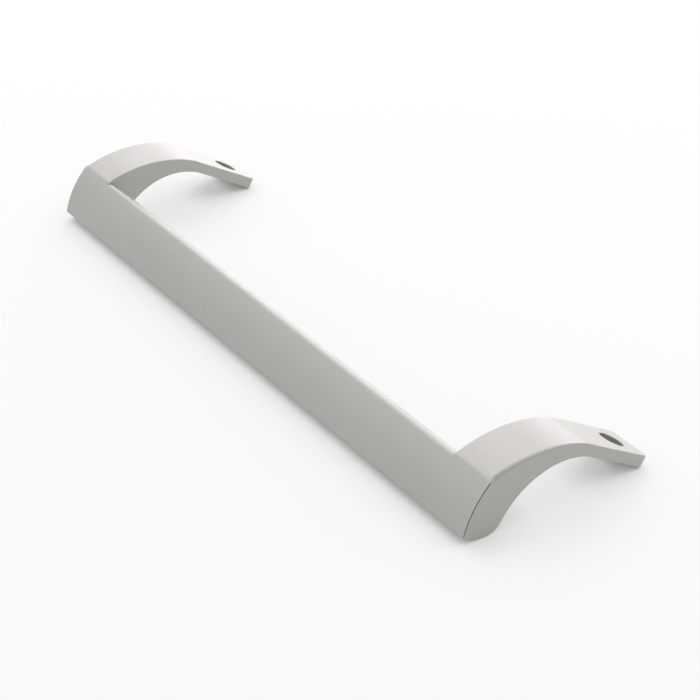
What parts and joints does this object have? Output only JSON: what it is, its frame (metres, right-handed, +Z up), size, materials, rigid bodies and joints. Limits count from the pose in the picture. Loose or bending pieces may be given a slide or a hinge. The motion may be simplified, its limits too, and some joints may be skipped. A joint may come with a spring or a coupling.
{
  "type": "refrigerator door handle",
  "caption": "Refrigerator door handle: a D-shaped bar on arched arms that end in flat feet with counterbored screw holes.",
  "frame": {"origin": "middle of the handle's length and depth, at the level of the surface it rests on", "axes": "+X along the bar, +Y from the front face of the bar towards the ends of the feet, +Z up"},
  "size_m": [0.334, 0.1018, 0.0321],
  "materials": {
    "satin_silver": "satin silver-grey paint on a plastic moulding"
  },
  "bodies": {
    "root": {"door_handle": "satin_silver"}
  },
  "joints": []
}
